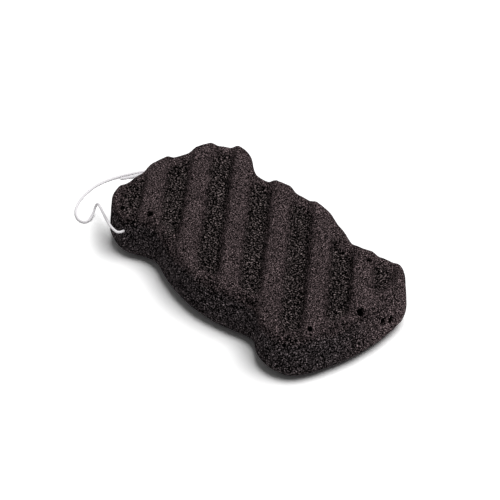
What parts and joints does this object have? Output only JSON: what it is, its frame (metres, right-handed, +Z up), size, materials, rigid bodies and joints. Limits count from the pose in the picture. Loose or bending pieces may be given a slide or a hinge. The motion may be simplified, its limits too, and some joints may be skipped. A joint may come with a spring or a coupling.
{
  "type": "konjac sponge",
  "caption": "Flat charcoal foam bath sponge with slanting ridges on top and waisted sides, on a knotted string loop that swings and hangs it up to dry; wetted to wash and scrub skin.",
  "frame": {"origin": "on the resting surface, under the middle of the foam block", "axes": "+Z up out of the ridged face, +X along the block's length and away from the end that carries the string, +Y across the block"},
  "size_m": [0.1549, 0.0747, 0.0242],
  "materials": {
    "charcoal_foam": "matte open-cell plant foam, dry, charcoal coloured",
    "cotton_string": "matte twisted white cotton string"
  },
  "bodies": {
    "sponge": {"sponge_body": "charcoal_foam"},
    "cord": {"cord_inner_run": "cotton_string", "cord_loop": "cotton_string", "cord_knot": "cotton_string", "cord_back_run": "cotton_string", "cord_tail_long": "cotton_string", "cord_tail_short": "cotton_string"}
  },
  "joints": [
    {"name": "loop_swing", "type": "hinge", "parent": "sponge", "child": "cord", "pos_m": [-0.0434, 0, 0.0141], "axis": [0, 1, 0], "range_deg": [0, 150]}
  ]
}
